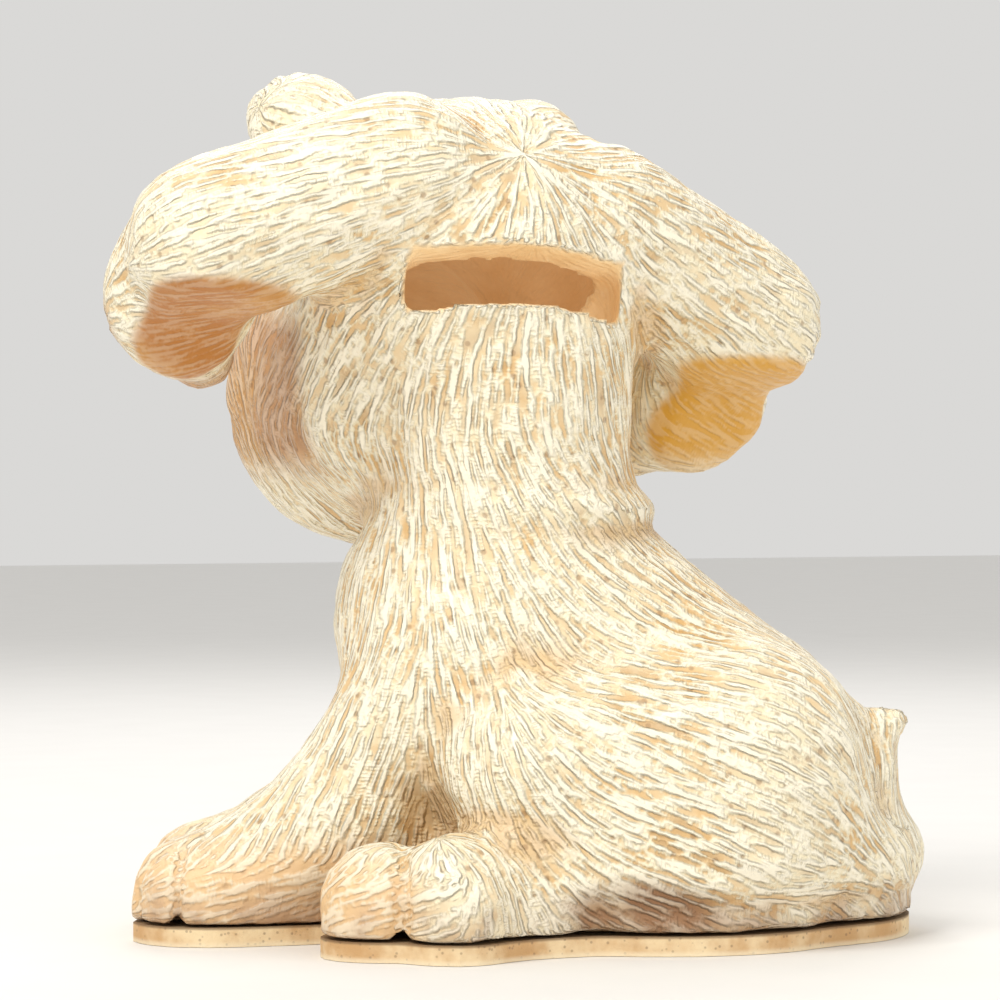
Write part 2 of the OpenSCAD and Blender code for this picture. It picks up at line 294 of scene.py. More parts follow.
# Large odd numbers that scatter the corners of the lattice
MIXERS = (73856093, 19349663, 83492791)
SEED_STEP = 2654435
LAST_MIXER = 1274126177
LARGEST = 0x7FFFFFFF


def lattice_noise(points, seed):
    """Smooth noise from 0 to 1 that repeats the same values in every run."""
    base = np.floor(points).astype(np.int64)
    part = points - base
    part = part * part * (3 - 2 * part)
    total = np.zeros(len(points))
    for dx in (0, 1):
        for dy in (0, 1):
            for dz in (0, 1):
                key = 0
                for axis, shift in enumerate((dx, dy, dz)):
                    key = key ^ (base[:, axis] + shift) * MIXERS[axis]
                key = (key + seed * SEED_STEP) & LARGEST
                key = (key ^ (key >> 13)) * LAST_MIXER & LARGEST
                value = ((key ^ (key >> 16)) & 0xFFFF) / 65535.0
                weight = (
                    (part[:, 0] if dx else 1 - part[:, 0])
                    * (part[:, 1] if dy else 1 - part[:, 1])
                    * (part[:, 2] if dz else 1 - part[:, 2])
                )
                total += weight * value
    return total


def combed_noise(points, flow, pitch, length, seed, samples=11):
    """Noise drawn out along the lay of the fur, from 0 to 1."""
    total = np.zeros(len(points))
    for i in range(samples):
        step = length * (i / (samples - 1) - 0.5)
        total += lattice_noise((points + flow * step) / pitch, seed)
    total = total / samples
    return np.clip((total - 0.5) * 2.6 + 0.5, 0.0, 1.0)


def neighbour_average(mesh, values, rounds):
    """The values after each vertex has taken the mean of its neighbours a few times."""
    edges = np.empty(len(mesh.edges) * 2, dtype=np.int64)
    mesh.edges.foreach_get("vertices", edges)
    edges = edges.reshape(-1, 2)
    ends = np.concatenate((edges[:, 0], edges[:, 1]))
    others = np.concatenate((edges[:, 1], edges[:, 0]))
    size = len(mesh.vertices)
    count = np.maximum(np.bincount(ends, minlength=size), 1)
    for _ in range(rounds):
        sums = [np.bincount(ends, weights=column[others], minlength=size) for column in values.T]
        values = np.stack(sums, axis=1) / count[:, None]
    return values


# ---- The hollow, in the head's frame and in the body's ---------------------------------

HEAD_ROOM = (
    ((1, 0, -2), (32.3, 33, 31)), ((10, 0, -26), (32.5, 30.5, 32.5)), ((36, 0, -38), (27.5, 30.5, 33.5)),
)
RUMP, CHEST, BELLY = (-30, 0, 34), (10, 0, 69), (6, 0, 30)
KNEE, HAUNCH = (6, 31, 36), (-36, 20, 36)
# Round-ended rooms from one place to another, each a little larger than the hollow it holds
BODY_ROOM = (
    (RUMP, 31, CHEST, 28), (RUMP, 31, BELLY, 23), (CHEST, 28, BELLY, 23), (KNEE, 15.5, HAUNCH, 24.5),
    ((10.5, 0, 75), 21.5, (10.5, 0, 112), 21.5), ((-30, 0, 4), 30, RUMP, 31), ((-36, 20, 4), 14, HAUNCH, 15),
)

# How often the remeshed skin is smoothed, and the most triangles that it may have
SMOOTHING = 3
MOST_TRIANGLES = 194000
# Half the width of the gap between two toes, in millimetres
CLEFT = 1.3
# Shallow dents of a surface that was modelled by hand
DENTS = 0.35 * MM
DENT_SIZE = 9 * MM
TUFT_SEED, STROKE_SEED, DENT_SEED = 3, 7, 11


# ---- Face, paints and slot -------------------------------------------------------------

EYE = (49.0, 25.0, 12.0)
EYE_R = 6.8
NOSE = (75.0, 0.0, -11.5)
NOSE_R = (9.5, 11.5, 9.0)
# Painted highlight: near-white on the tops of the fur strokes, where light catches them
FUR_TOP_HIGHLIGHT = (0.97, 0.90, 0.72, 1.0)
# Painted reflected light: warm orange on the fronts of the paws near the floor
TOE_BOUNCE_TONES = ((0.80, 0.50, 0.22, 1.0), (0.86, 0.58, 0.34, 1.0))
INSIDE_TONES = ((0.88, 0.66, 0.38, 1.0), (0.78, 0.53, 0.26, 1.0))
# A paler amber mixed in clouds into the painted shade under the ears and jaw
PALE_AMBER_SHADE = (0.80, 0.50, 0.16, 1.0)
# Brown that the figure turns towards the floor
LOW_BROWN = (0.36, 0.19, 0.09, 1.0)
SEAM = (0.16, 0.08, 0.04, 1.0)
NOSE_BLACK = (0.035, 0.022, 0.016, 1.0)
EYE_WHITE = (0.88, 0.84, 0.74, 1.0)
EYE_BROWN = (0.11, 0.045, 0.015, 1.0)
EDGE = 0.25 * MM
SLOT = np.array((-10.0, -45.4, 138.5))
SLOT_SLOPE = math.radians(20)
SLOT_TURN = math.radians(-12)
SLOT_HALF = (23.0, 5.0)


def to_slot(points):
    """Places in millimetres along the slot, up across it and out of it."""
    q = points / MM - SLOT
    along = q[:, 0] * math.cos(SLOT_TURN) + q[:, 1] * math.sin(SLOT_TURN)
    back = q[:, 1] * math.cos(SLOT_TURN) - q[:, 0] * math.sin(SLOT_TURN)
    across = back * math.sin(SLOT_SLOPE) + q[:, 2] * math.cos(SLOT_SLOPE)
    out = -back * math.cos(SLOT_SLOPE) + q[:, 2] * math.sin(SLOT_SLOPE)
    return np.stack((along, across, out), axis=1)


def carve_face(head):
    """How far each place sinks (in millimetres) to draw the eyes, nostrils and mouth."""
    mirrored = head * np.array((1.0, 0.0, 1.0)) + np.abs(head) * np.array((0.0, 1.0, 0.0))
    from_eye = np.linalg.norm(mirrored - np.array(EYE), axis=1)
    depth = 1.5 * np.exp(-((from_eye - EYE_R) / 1.1) ** 2)
    nostril = np.linalg.norm(mirrored - np.array((81.5, 4.6, -12.5)), axis=1)
    depth += 1.4 * smoothstep(3.0, 1.2, nostril)
    split = smoothstep(1.6, 0.5, np.abs(head[:, 1])) * smoothstep(58, 63, head[:, 0])
    depth += 1.2 * split * smoothstep(-46, -40, head[:, 2]) * smoothstep(-17, -20, head[:, 2])
    return depth


def figure_masks(mesh):
    """The parts of the figure that are finished, or given painted light and shade, in their own way, one number
    a vertex each.
    """
    points = vertex_array(mesh)
    normals = normal_array(mesh)
    head = to_head(points)
    body = to_body(points)
    slot = to_slot(points)
    side = np.where(head[:, 1] > 0, 1.0, -1.0)
    is_head = smoothstep(92, 104, points[:, 2] / MM)

    # Painted shade under each ear (an ellipsoid below the ear) and along the side of the jaw
    hollow = nearness(
        np.stack((head[:, 0], np.abs(head[:, 1]), head[:, 2] - 3.0 * side), axis=1),
        (-44, 64, -42), (40, 60, 32),
    )
    under_ear = smoothstep(1.12, 1.06, hollow) * smoothstep(37, 45, np.abs(head[:, 1])) * is_head
    jaw = smoothstep(-14, -26, head[:, 2]) * smoothstep(-2, 8, head[:, 0]) * is_head
    jaw *= smoothstep(60, 44, head[:, 0])

    in_slot = (np.abs(slot[:, 0]) < SLOT_HALF[0] + 0.35) & (np.abs(slot[:, 1]) < SLOT_HALF[1] + 0.35)
    in_slot &= (slot[:, 2] > -24) & (slot[:, 2] < 12)
    inner = hollow_side(points)

    # Painted shade: coarse hollows and creases, found from how far each vertex lies below the mean of its
    # neighbours
    mean = neighbour_average(mesh, points, 14)
    crease_shade = np.sum((mean - points) * normals, axis=1) / MM

    # Brown blots low on the outer sides of the hind feet and between the hind feet and the forelegs
    mirrored_body = np.stack((body[:, 0], np.abs(body[:, 1]), body[:, 2]), axis=1)
    low_blot = smoothstep(1.1, 0.6, nearness(mirrored_body, (-14, 44, 8), (20, 20, 9)))
    low_blot = np.maximum(low_blot, smoothstep(1.0, 0.6, nearness(mirrored_body, (2, 30, 10), (11, 14, 12))))
    # The fronts of the paws near the floor: less fur there, and painted warm reflected light
    toes = smoothstep(30, 44, body[:, 0]) * smoothstep(26, 16, body[:, 2]) * (1 - is_head)
    toes = np.maximum(toes, smoothstep(24, 34, body[:, 0]) * smoothstep(24, 14, body[:, 2]) * (1 - is_head))
    return {
        # Where the painted amber shade goes: under the ears, and weaker along the jaw
        "amber_shade": np.maximum(under_ear, 0.8 * jaw),
        "inside": np.maximum(inner, in_slot.astype(float)),
        "crease_shade": smoothstep(0.02, 0.42, crease_shade),
        "crest": smoothstep(0.05, -0.45, crease_shade),
        "low_blot": low_blot,
        "toes": toes,
        "smooth": np.clip(np.maximum.reduce((under_ear, in_slot.astype(float), inner)), 0, 1),
    }


def carve_toes(body):
    """How far each place sinks (in millimetres) to part the toes."""
    ahead, side = body[:, 0], np.abs(body[:, 1])
    low = smoothstep(27, 19, body[:, 2])
    forepaw = smoothstep(70, 76, ahead) * low
    hind = smoothstep(36, 41, ahead) * low
    cleft = np.zeros(len(body))
    for across in (12.5, 23.5):
        cleft += np.exp(-((side - across) / CLEFT) ** 2) * forepaw
    cleft += np.exp(-((ahead - 79 - 0.15 * (side - 28)) / CLEFT) ** 2) * smoothstep(23, 27, side) * low
    cleft += np.exp(-((side - 46.0) / CLEFT) ** 2) * hind
    cleft += np.exp(-((ahead - 32.5) / CLEFT) ** 2) * smoothstep(44, 48, side) * low
    return 2.2 * np.clip(cleft, 0, 1)


def hollow_side(points):
    """1 on the walls of the hollow inside the figure, 0 outside it."""
    head = to_head(points)
    body = to_body(points)
    is_head = points[:, 2] / MM > 98
    inner = np.zeros(len(points), dtype=bool)
    for centre, radii in HEAD_ROOM:
        inner |= is_head & (nearness(head, centre, radii) < 1.0)
    body[:, 1] = np.abs(body[:, 1])
    for start, start_r, end, end_r in BODY_ROOM:
        along = np.array(end, dtype=float) - np.array(start)
        t = np.clip((body - np.array(start)) @ along / (along @ along), 0, 1)[:, None]
        away = np.linalg.norm(body - np.array(start) - t * along, axis=1)
        inner |= away < start_r + (end_r - start_r) * t[:, 0]
    return inner.astype(float)


def thin_out_hollow(skin):
    """Keeps the skin's fine cells outside, where they show, and merges them inside."""
    mesh = skin.data
    inner = hollow_side(vertex_array(mesh))
    group = skin.vertex_groups.new(name="inner")
    group.add([int(i) for i in np.nonzero(inner)[0]], 1.0, "REPLACE")
    triangles = 2 * len(mesh.polygons)
    share = min(1.0, MOST_TRIANGLES / triangles)
    decimate = skin.modifiers.new("Decimate", "DECIMATE")
    decimate.decimate_type = "COLLAPSE"
    decimate.ratio = share
    decimate.vertex_group = "inner"
    apply_modifiers(skin)
    skin.vertex_groups.clear()


def build_skin(name, nodes, settings):
    """One continuous skin over these castings, with the fur and the face modelled in it."""
    merged = bmesh.new()
    for node in nodes:
        merged.from_mesh(NODES[node].data)
    bmesh.ops.remove_doubles(merged, verts=merged.verts, dist=0.001 * MM)
    mesh = bpy.data.meshes.new(name)
    merged.to_mesh(mesh)
    merged.free()
    skin = link_piece(name, mesh)
    remesh = skin.modifiers.new("Remesh", "REMESH")
    remesh.mode = "VOXEL"
    remesh.voxel_size = settings.remesh_size
    smooth = skin.modifiers.new("Smooth", "SMOOTH")
    smooth.factor = 0.5
    smooth.iterations = SMOOTHING
    apply_modifiers(skin)
    thin_out_hollow(skin)
    mesh = skin.data
    points = vertex_array(mesh)
    normals = normal_array(mesh)
    head = to_head(points)
    body = to_body(points)
    flow = lay_of_fur(points, normals)
    masks = figure_masks(mesh)
    near_face = smoothstep(1.25, 1.05, nearness(head, NOSE, NOSE_R))
    mirrored = np.stack((head[:, 0], np.abs(head[:, 1]), head[:, 2]), axis=1)
    near_eye = smoothstep(EYE_R + 2.4, EYE_R + 0.6, np.linalg.norm(mirrored - np.array(EYE), axis=1))
    furry = (1 - masks["smooth"]) * (1 - 0.9 * near_face) * (1 - near_eye) * (1 - 0.5 * masks["toes"])
    tufts = combed_noise(points, flow, 1.8 * settings.stroke_pitch, 5.5 * settings.stroke_pitch, TUFT_SEED)
    strokes = combed_noise(points, flow, 1.15 * settings.stroke_pitch, 3.4 * settings.stroke_pitch, STROKE_SEED)
    depth = settings.stroke_depth * ((1 - tufts) + 0.9 * (1 - strokes)) * furry
    depth += carve_face(head) * MM * smoothstep(96, 104, points[:, 2] / MM)
    depth += carve_toes(body) * MM
    depth += DENTS * lattice_noise(points / DENT_SIZE, DENT_SEED)
    points = points - normals * depth[:, None]
    move_vertices(mesh, np.clip(points, np.array(CAD_BOX[0]), np.array(CAD_BOX[1])))

    store(mesh, "stroke", tufts * 0.5 + strokes * 0.5)
    for key in ("amber_shade", "inside", "crease_shade", "crest", "low_blot", "toes", "smooth"):
        store(mesh, key, masks[key])
    store(mesh, "furry", furry)
    lay = mesh.attributes.new("lay", "FLOAT_VECTOR", "POINT")
    lay.data.foreach_set("vector", lay_of_fur(points, normals).ravel())
    mesh.polygons.foreach_set("use_smooth", [True] * len(mesh.polygons))
    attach(skin, "figure")
    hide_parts(*nodes)
    return skin


# ---- Materials -------------------------------------------------------------------------


class Tree:
    """Adds nodes to a node tree and joins them in short lines."""

    def __init__(self, tree):
        self.tree = tree

    def add(self, kind, inputs=(), **settings):
        """A node with these settings, and these values or links on its inputs."""
        node = self.tree.nodes.new(kind)
        for key, value in settings.items():
            setattr(node, key, value)
        for key, value in dict(inputs).items():
            if isinstance(value, bpy.types.NodeSocket):
                self.tree.links.new(value, node.inputs[key])
            else:
                node.inputs[key].default_value = value
        return node

    def math(self, operation, a, b=0.0, clamp=False):
        """The result of one piece of arithmetic."""
        return self.add("ShaderNodeMath", {0: a, 1: b}, operation=operation, use_clamp=clamp).outputs[0]

    def vector(self, operation, a, b):
        """The result of one piece of arithmetic on vectors."""
        return self.add("ShaderNodeVectorMath", {0: a, 1: b}, operation=operation).outputs["Vector"]

    def scaled(self, a, factor):
        """A vector made longer by a factor."""
        return self.add(
            "ShaderNodeVectorMath", {0: a, "Scale": factor}, operation="SCALE",
        ).outputs["Vector"]

    def mix(self, factor, a, b):
        """One colour laid over another."""
        node = self.add("ShaderNodeMix", data_type="RGBA", blend_type="MIX")
        for key, value in (("Factor_Float", factor), ("A_Color", a), ("B_Color", b)):
            socket = next(s for s in node.inputs if s.identifier == key)
            if isinstance(value, bpy.types.NodeSocket):
                self.tree.links.new(value, socket)
            else:
                socket.default_value = value
        return next(s for s in node.outputs if s.identifier == "Result_Color")

    def ramp(self, value, low, high, to_low=0.0, to_high=1.0):
        """A value taken smoothly from one range to another."""
        return self.add(
            "ShaderNodeMapRange",
            {"Value": value, "From Min": low, "From Max": high, "To Min": to_low, "To Max": to_high},
            interpolation_type="SMOOTHSTEP",
        ).outputs["Result"]

    def noise(self, place, scale, detail=2.0, roughness=0.5):
        """Cloudy noise from 0 to 1."""
        return self.add(
            "ShaderNodeTexNoise",
            {"Vector": place, "Scale": scale, "Detail": detail, "Roughness": roughness},
        ).outputs[0]

    def attribute(self, name):
        """A number kept on the surface."""
        return self.add("ShaderNodeAttribute", attribute_name=name).outputs["Fac"]

    def place(self):
        """Where a point is on the object."""
        return self.add("ShaderNodeTexCoord").outputs["Object"]


def new_group(name, inputs, outputs):
    """An empty node group with these sockets, its tree, its inputs and its output node."""
    group = bpy.data.node_groups.new(name, "ShaderNodeTree")
    for title, kind, default in inputs:
        socket = group.interface.new_socket(title, in_out="INPUT", socket_type=kind)
        if default is not None:
            socket.default_value = default
    for title, kind in outputs:
        group.interface.new_socket(title, in_out="OUTPUT", socket_type=kind)
    tree = Tree(group)
    return group, tree, tree.add("NodeGroupInput").outputs, tree.add("NodeGroupOutput")


def fur_strokes_group():
    """Fine strokes drawn out along the lay of the fur."""
    group, tree, given, result = new_group(
        "Fur Strokes",
        (("Place", "NodeSocketVector", None), ("Lay", "NodeSocketVector", None),
         ("Scale", "NodeSocketFloat", 600.0), ("Length", "NodeSocketFloat", 0.009)),
        (("Height", "NodeSocketFloat"),),
    )
    samples = 7
    total = None
    for i in range(samples):
        along = tree.math("MULTIPLY", given["Length"], i / (samples - 1) - 0.5)
        shifted = tree.vector("ADD", given["Place"], tree.scaled(given["Lay"], along))
        part = tree.noise(shifted, given["Scale"], detail=0.0)
        total = part if total is None else tree.math("ADD", total, part)
    mean = tree.math("MULTIPLY", total, 1 / samples)
    group.links.new(tree.ramp(mean, 0.41, 0.59), result.inputs["Height"])
    return group


def speckle_group():
    """Cloudy stains and small specks, for glaze, clay and rubber alike."""
    group, tree, given, result = new_group(
        "Stain And Specks",
        (("Place", "NodeSocketVector", None), ("Cloud Scale", "NodeSocketFloat", 60.0),
         ("Speck Scale", "NodeSocketFloat", 500.0)),
        (("Cloud", "NodeSocketFloat"), ("Specks", "NodeSocketFloat"), ("Grain", "NodeSocketFloat")),
    )
    cloud = tree.noise(given["Place"], given["Cloud Scale"], detail=4.0, roughness=0.6)
    cells = tree.add("ShaderNodeTexVoronoi", {"Vector": given["Place"], "Scale": given["Speck Scale"]})
    specks = tree.ramp(cells.outputs["Distance"], 0.28, 0.12)
    grain = tree.noise(given["Place"], given["Speck Scale"], detail=3.0, roughness=0.7)
    group.links.new(tree.ramp(cloud, 0.35, 0.65), result.inputs["Cloud"])
    group.links.new(specks, result.inputs["Specks"])
    group.links.new(grain, result.inputs["Grain"])
    return group


def opaque(colour):
    """A setting's colour with its alpha."""
    return (*colour, 1.0)


def new_material(name):
    """A material with a Principled shader, and its tree."""
    material = bpy.data.materials.new(name)
    material.use_nodes = True
    shader = material.node_tree.nodes["Principled BSDF"]
    return material, Tree(material.node_tree), shader


def add_group(tree, name, build, inputs):
    """The outputs of a shared node group, which is built the first time it is asked for."""
    group = bpy.data.node_groups.get(name) or build()
    return tree.add("ShaderNodeGroup", inputs, node_tree=group).outputs


def head_place(head):
    """A place in the head's frame, in millimetres, as a place in the frame in metres."""
    axes = head_axes()
    return tuple((np.array(head, dtype=float) @ axes + SKULL) * MM)


def painted_figure_material(settings):
    """Ivory fur with painted highlights on the stroke tops, over a golden wash with painted shade in the
    creases, painted amber shade under the ears and jaw, painted reflected light on the paws, brown stains,
    brown blots low on the feet, dark eyes, a dark nose and a faint painted glow inside.
    """
    material, tree, shader = new_material("Painted Figure")
    place = tree.place()
    lay = tree.add("ShaderNodeAttribute", attribute_name="lay").outputs["Vector"]
    fine = add_group(
        tree, "Fur Strokes", fur_strokes_group,
        {"Place": place, "Lay": lay, "Scale": 900.0, "Length": 2.4 * settings.stroke_pitch},
    )["Height"]
    stains = add_group(tree, "Stain And Specks", speckle_group,
                       {"Place": place, "Cloud Scale": 42.0, "Speck Scale": 300.0})
    furry = tree.attribute("furry")
    stroke = tree.attribute("stroke")
    crease_shade = tree.attribute("crease_shade")
    crest = tree.attribute("crest")
    smooth = tree.attribute("smooth")

    height = tree.math("ADD", tree.math("MULTIPLY", stroke, 0.3), tree.math("MULTIPLY", fine, 0.7))
    groove = tree.math("MULTIPLY", tree.ramp(height, 0.46, 0.12), furry)
    patchy = tree.math("MULTIPLY", groove, tree.ramp(stains["Cloud"], 0.0, 1.0, 0.35, 0.8))
    # Golden wash in the grooves between strokes, with painted shade in the coarse creases; the ridges get less
    # of both
    wash_and_crease_shade = tree.math("MAXIMUM", patchy, tree.math("MULTIPLY", crease_shade, 0.55))
    wash_and_crease_shade = tree.math("SUBTRACT", wash_and_crease_shade, tree.math("MULTIPLY", crest, 0.25), clamp=True)
    # Painted highlight: ivory that turns near-white towards the tops of the strokes
    highlighted_tops = tree.mix(tree.ramp(height, 0.35, 0.75), opaque(settings.ivory), FUR_TOP_HIGHLIGHT)
    colour = tree.mix(wash_and_crease_shade, highlighted_tops, opaque(settings.golden))

    # Painted reflected light: warm orange on the paws, stronger in the grooves between strokes
    toned = tree.mix(stains["Cloud"], *TOE_BOUNCE_TONES)
    toe_bounce = tree.math("MULTIPLY", tree.attribute("toes"), tree.ramp(height, 0.75, 0.3, 0.35, 0.85))
    colour = tree.mix(toe_bounce, colour, toned)
    # Painted shade under the ears and jaw: amber on the left, paler honey on the right, paler in clouds and a
    # little weaker on the fur tops
    right_side = tree.ramp(tree.add("ShaderNodeSeparateXYZ", {0: place}).outputs["X"], -0.01, 0.02)
    amber_tone = tree.mix(right_side, opaque(settings.amber_shade), opaque(settings.honey_shade))
    amber_tone = tree.mix(tree.math("MULTIPLY", stains["Cloud"], 0.35), amber_tone, PALE_AMBER_SHADE)
    amber_mask = tree.math("MULTIPLY", tree.attribute("amber_shade"), tree.ramp(fine, 0.0, 1.0, 1.0, 0.82))
    colour = tree.mix(amber_mask, colour, amber_tone)
    inside_tone = tree.mix(stains["Cloud"], *INSIDE_TONES)
    colour = tree.mix(tree.attribute("inside"), colour, inside_tone)

    dots = tree.math("MULTIPLY", stains["Specks"], tree.ramp(height, 0.62, 0.30))
    deep = tree.math("MAXIMUM", tree.math("MULTIPLY", tree.ramp(height, 0.16, 0.03), 0.5), dots)
    deep = tree.math("MULTIPLY", tree.math("MULTIPLY", deep, furry), 0.5)
    colour = tree.mix(deep, colour, opaque(settings.brown))
    # Brown blots low on the feet, in clouds and darker in the grooves
    blot = tree.math(
        "MULTIPLY", tree.ramp(stains["Cloud"], 0.0, 1.0, 0.35, 0.95), tree.ramp(height, 0.9, 0.3, 0.55, 1.0),
    )
    low_blot = tree.math("MULTIPLY", tree.attribute("low_blot"), blot)
    colour = tree.mix(low_blot, colour, opaque(settings.brown))

    height_z = tree.add("ShaderNodeSeparateXYZ", {0: place}).outputs["Z"]
    # Darker and browner towards the bottom, over the lowest 16 mm and strongest below 4 mm, in clouds
    low = tree.ramp(height_z, 0.016, 0.004)
    low_darkening = tree.math("MULTIPLY", low, tree.ramp(stains["Cloud"], 0.1, 0.9, 0.15, 0.75))
    colour = tree.mix(low_darkening, colour, LOW_BROWN)
    seam = tree.math("MULTIPLY", tree.ramp(height_z, 0.0050, 0.0043), 0.7)
    colour = tree.mix(seam, colour, SEAM)

    from_eyes = [
        tree.add("ShaderNodeVectorMath", {0: place, 1: head_place((EYE[0], side * EYE[1], EYE[2]))},
                 operation="DISTANCE").outputs["Value"]
        for side in (1, -1)
    ]
    from_eye = tree.math("MINIMUM", *from_eyes)
    for share, tone in ((1.0, EYE_WHITE), (0.84, EYE_BROWN)):
        edge = share * EYE_R * MM
        colour = tree.mix(tree.ramp(from_eye, edge + EDGE, edge - EDGE), colour, tone)
    pupil = 0.5 * EYE_R * MM
    dark = tree.ramp(from_eye, pupil + EDGE, pupil - EDGE)
    nose_away = tree.add(
        "ShaderNodeVectorMath", {0: place, 1: head_place((79.5, 0.0, -10.5))}, operation="DISTANCE",
    ).outputs["Value"]
    nose = tree.ramp(nose_away, 0.0098, 0.0088)
    dark = tree.math("MAXIMUM", dark, nose)
    colour = tree.mix(dark, colour, NOSE_BLACK)

    rough = tree.ramp(stains["Grain"], 0.2, 0.8, 0.36, 0.52)
    rough = tree.math("SUBTRACT", rough, tree.math("MULTIPLY", dark, 0.22))
    rough = tree.math("ADD", rough, tree.math("MULTIPLY", groove, 0.12), clamp=True)
    tree.tree.links.new(colour, shader.inputs["Base Color"])
    tree.tree.links.new(rough, shader.inputs["Roughness"])
    # Painted light: the walls of the slot and the hollow glow faintly in their own tan, standing in for light
    # bouncing inside
    painted_bounce_glow = tree.mix(tree.attribute("inside"), (0.0, 0.0, 0.0, 1.0), inside_tone)
    tree.tree.links.new(painted_bounce_glow, shader.inputs["Emission Color"])
    shader.inputs["Emission Strength"].default_value = 0.16
    shader.inputs["Coat Weight"].default_value = 0.12
    shader.inputs["Coat Roughness"].default_value = 0.28

    relief = tree.math("MULTIPLY", fine, furry)
    relief = tree.math("ADD", relief, tree.math("MULTIPLY", stains["Grain"], 0.16))
    faint = tree.math("MULTIPLY", tree.math("MULTIPLY", fine, smooth), 0.22)
    relief = tree.math("ADD", relief, faint)
    bump = tree.add("ShaderNodeBump", {"Height": relief, "Strength": 1.0, "Distance": 0.0009})
    tree.tree.links.new(bump.outputs["Normal"], shader.inputs["Normal"])
    return material


def base_material(settings):
    """Bare clay with a brown wash and grime."""
    material, tree, shader = new_material("Stained Clay")
    place = tree.place()
    stains = add_group(tree, "Stain And Specks", speckle_group,
                       {"Place": place, "Cloud Scale": 70.0, "Speck Scale": 700.0})
    colour = tree.mix(stains["Cloud"], opaque(settings.clay), (0.86, 0.68, 0.42, 1.0))
    colour = tree.mix(tree.math("MULTIPLY", stains["Specks"], 0.45), colour, (0.17, 0.09, 0.05, 1.0))
    height = tree.add("ShaderNodeSeparateXYZ", {0: place}).outputs["Z"]
    worn = tree.math("MULTIPLY", tree.ramp(height, 0.0014, 0.0002), 0.7)
    colour = tree.mix(worn, colour, (0.90, 0.78, 0.56, 1.0))
    seam = tree.ramp(height, 0.0033, 0.0039)
    colour = tree.mix(tree.math("MULTIPLY", seam, 0.8), colour, (0.16, 0.09, 0.04, 1.0))
    tree.tree.links.new(colour, shader.inputs["Base Color"])
    tree.tree.links.new(tree.ramp(stains["Grain"], 0.2, 0.8, 0.62, 0.86), shader.inputs["Roughness"])
    bump = tree.add("ShaderNodeBump", {"Height": stains["Grain"], "Strength": 0.5, "Distance": 0.0005})
    tree.tree.links.new(bump.outputs["Normal"], shader.inputs["Normal"])
    return material


def rubber_material(settings):
    """Soft black rubber with a bloom of dust."""
    material, tree, shader = new_material("Black Rubber")
    place = tree.place()
    stains = add_group(tree, "Stain And Specks", speckle_group,
                       {"Place": place, "Cloud Scale": 110.0, "Speck Scale": 1500.0})
    dust = tree.math("MULTIPLY", stains["Cloud"], 0.35)
    colour = tree.mix(dust, opaque(settings.rubber), (0.11, 0.10, 0.09, 1.0))
    tree.tree.links.new(colour, shader.inputs["Base Color"])
    tree.tree.links.new(tree.ramp(stains["Cloud"], 0.0, 1.0, 0.48, 0.68), shader.inputs["Roughness"])
    bump = tree.add("ShaderNodeBump", {"Height": stains["Grain"], "Strength": 0.3, "Distance": 0.0002})
    tree.tree.links.new(bump.outputs["Normal"], shader.inputs["Normal"])
    return material


def floor_material():
    """Plain pale paper that hides nothing from below."""
    material, tree, shader = new_material("Pale Floor")
    grain = tree.noise(tree.place(), 40.0, detail=3.0)
    colour = tree.mix(grain, (0.80, 0.79, 0.77, 1.0), (0.84, 0.83, 0.81, 1.0))
    tree.tree.links.new(colour, shader.inputs["Base Color"])
    seen_from_above = tree.math("SUBTRACT", 1.0, tree.add("ShaderNodeNewGeometry").outputs["Backfacing"])
    tree.tree.links.new(seen_from_above, shader.inputs["Alpha"])
    shader.inputs["Roughness"].default_value = 0.8
    return material


# ---- Operators -------------------------------------------------------------------------


class COINBANK_OT_figure(bpy.types.Operator):
    """Builds the painted skin over the nine castings of the puppy."""

    bl_idname = "coinbank.figure"
    bl_label = "Puppy"

    def execute(self, context):
        """Makes the piece."""
        settings = context.scene.coinbank_figure
        skin = build_skin("figure_skin", CASTINGS, settings)
        if not skin.data.polygons:
            raise RuntimeError("The castings gave no skin")
        skin.data.materials.append(painted_figure_material(settings))
        return {"FINISHED"}


def finish_node(name, material):
    """Gives a node of the frame this material alone."""
    mesh = NODES[name].data
    mesh.materials.clear()
    mesh.materials.append(material)


class COINBANK_OT_base(bpy.types.Operator):
    """Finishes the plate under the figure."""

    bl_idname = "coinbank.base"
    bl_label = "Base Plate"

    def execute(self, context):
        """Makes the finish."""
        finish_node("base_plate", base_material(context.scene.coinbank_base))
        return {"FINISHED"}


class COINBANK_OT_stopper(bpy.types.Operator):
    """Finishes the rubber stopper."""

    bl_idname = "coinbank.stopper"
    bl_label = "Stopper"

    def execute(self, context):
        """Makes the finish."""
        finish_node("stopper", rubber_material(context.scene.coinbank_base))
        return {"FINISHED"}


AIM = Vector((0.3, -10.2, 91.5)) * MM
LENS = 143.8


def add_light(name, place, size, power, colour):
    """A soft square light that faces the bank."""
    data = bpy.data.lights.new(name, "AREA")
    data.shape = "SQUARE"
    data.size = size
    data.energy = power
    data.color = colour
    light = bpy.data.objects.new(name, data)
    light.location = place
    light.rotation_euler = (AIM - Vector(place)).to_track_quat("-Z", "Y").to_euler()
    bpy.context.scene.collection.objects.link(light)


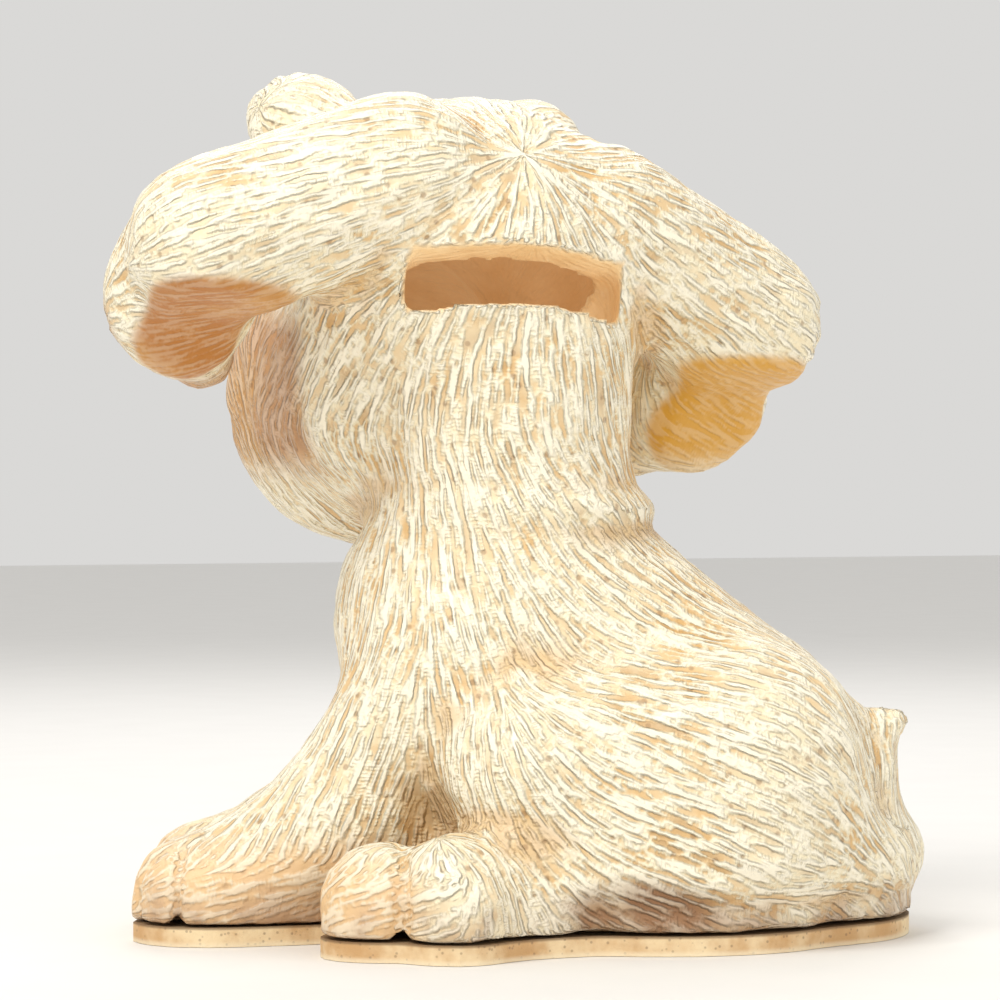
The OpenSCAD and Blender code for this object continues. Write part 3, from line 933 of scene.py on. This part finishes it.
class COINBANK_OT_stage(bpy.types.Operator):
    """Sets up the floor, the lights and the camera."""

    bl_idname = "coinbank.stage"
    bl_label = "Stage"

    def execute(self, context):
        """Makes the stage."""
        settings = context.scene.coinbank_studio
        mesh = bpy.data.meshes.new("floor")
        floor_mesh = bmesh.new()
        bmesh.ops.create_grid(floor_mesh, x_segments=1, y_segments=1, size=3.0)
        bmesh.ops.translate(floor_mesh, verts=floor_mesh.verts, vec=(0, 0, -0.1 * MM))
        floor_mesh.to_mesh(mesh)
        floor_mesh.free()
        floor = link_piece("floor", mesh)
        mesh.materials.append(floor_material())

        world = bpy.data.worlds.new("Studio")
        world.use_nodes = True
        world.node_tree.nodes["Background"].inputs["Color"].default_value = (1.0, 0.99, 0.97, 1.0)
        world.node_tree.nodes["Background"].inputs["Strength"].default_value = 0.7
        context.scene.world = world
        context.scene.view_settings.view_transform = "Standard"

        away = Vector((
            math.sin(settings.azimuth) * math.cos(settings.elevation),
            -math.cos(settings.azimuth) * math.cos(settings.elevation),
            math.sin(settings.elevation),
        ))
        across = Vector((math.cos(settings.azimuth), math.sin(settings.azimuth), 0))
        up = Vector((0, 0, 1))
        add_light("Key", AIM + away * 0.5 - across * 0.35 + up * 0.75, 0.45, 6.0, (1.0, 0.97, 0.92))
        add_light("Fill", AIM + away * 0.6 + across * 0.7 + up * 0.15, 0.7, 1.5, (1.0, 0.98, 0.95))
        add_light("Back", AIM - away * 0.7 + up * 0.7, 0.6, 3.0, (1.0, 0.98, 0.96))

        data = bpy.data.cameras.new("Camera")
        data.lens = LENS
        data.clip_start = 0.05
        camera = bpy.data.objects.new("Camera", data)
        camera.location = AIM + away * settings.distance
        camera.rotation_euler = (-away).to_track_quat("-Z", "Y").to_euler()
        context.scene.collection.objects.link(camera)
        context.scene.camera = camera
        return {"FINISHED"}


class COINBANK_PT_panel(bpy.types.Panel):
    """Lists the steps that build the bank, and their settings."""

    bl_idname = "COINBANK_PT_panel"
    bl_label = "Coin Bank"
    bl_space_type = "VIEW_3D"
    bl_region_type = "UI"
    bl_category = "Coin Bank"

    def draw(self, context):
        """Shows the buttons and the settings."""
        for operator in OPERATORS:
            self.layout.operator(operator.bl_idname)
        for group, _ in SETTINGS:
            settings = getattr(context.scene, group)
            box = self.layout.box()
            for name in settings.bl_rna.properties.keys():
                if name not in ("rna_type", "name"):
                    box.prop(settings, name)


OPERATORS = (COINBANK_OT_figure, COINBANK_OT_base, COINBANK_OT_stopper, COINBANK_OT_stage)
SETTINGS = (
    ("coinbank_figure", FigureSettings), ("coinbank_base", BaseSettings), ("coinbank_studio", StudioSettings),
)


def register():
    """Adds the settings, the operators and the panel."""
    for name, kind in SETTINGS:
        bpy.utils.register_class(kind)
        setattr(bpy.types.Scene, name, bpy.props.PointerProperty(type=kind))
    for kind in (*OPERATORS, COINBANK_PT_panel):
        bpy.utils.register_class(kind)


def unregister():
    """Takes them away again."""
    for kind in (COINBANK_PT_panel, *reversed(OPERATORS)):
        bpy.utils.unregister_class(kind)
    for name, kind in reversed(SETTINGS):
        delattr(bpy.types.Scene, name)
        bpy.utils.unregister_class(kind)


def main():
    """Builds the bank."""
    register()
    for operator in (
        bpy.ops.coinbank.figure, bpy.ops.coinbank.base, bpy.ops.coinbank.stopper, bpy.ops.coinbank.stage,
    ):
        operator()


if __name__ == "__main__":
    main()
